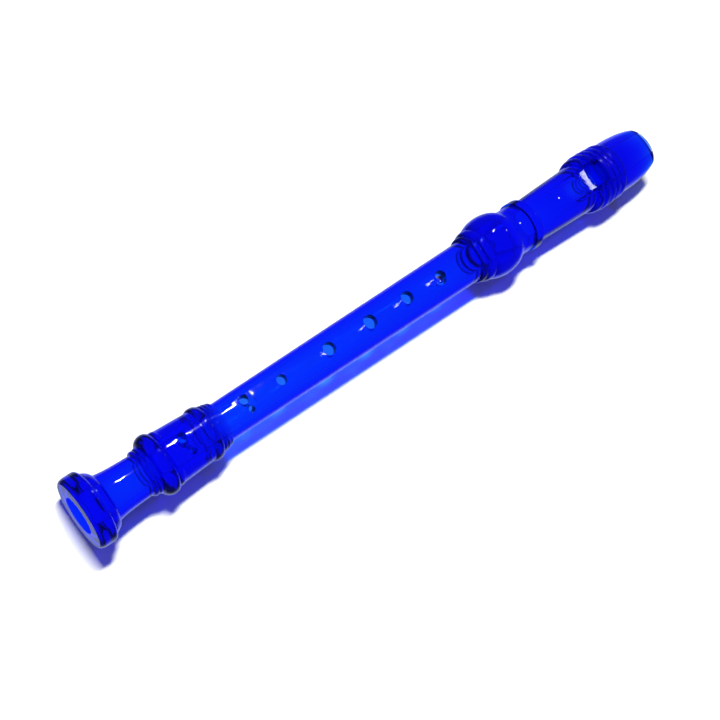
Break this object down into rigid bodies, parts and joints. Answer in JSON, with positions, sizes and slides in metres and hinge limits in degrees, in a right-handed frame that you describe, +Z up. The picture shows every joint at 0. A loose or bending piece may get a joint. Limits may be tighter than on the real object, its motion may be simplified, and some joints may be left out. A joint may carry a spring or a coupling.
{
  "type": "soprano recorder",
  "caption": "Soprano recorder in clear coloured plastic that comes apart into a head with a beak, a middle joint with finger holes and a turning foot with a flared bell.",
  "frame": {"origin": "centre of the bounding box's bottom face, on the surface that the recorder lies on", "axes": "+X along the bore from the bell to the beak, +Z up through the finger holes and the window"},
  "size_m": [0.325, 0.0302, 0.0303],
  "materials": {
    "clear_blue": "polished"
  },
  "bodies": {
    "middle": {"middle_joint": "clear_blue"},
    "head": {"head_joint": "clear_blue", "mouthpiece": "clear_blue", "block": "clear_blue"},
    "foot": {"foot_joint": "clear_blue"}
  },
  "joints": [
    {"name": "head_slide", "type": "slide", "parent": "middle", "child": "head", "axis": [1, 0, 0], "range_m": [0, 0.024]},
    {"name": "foot_turn", "type": "hinge", "parent": "middle", "child": "foot", "pos_m": [-0.1045, 0, 0.01514], "axis": [1, 0, 0], "continuous": true}
  ]
}
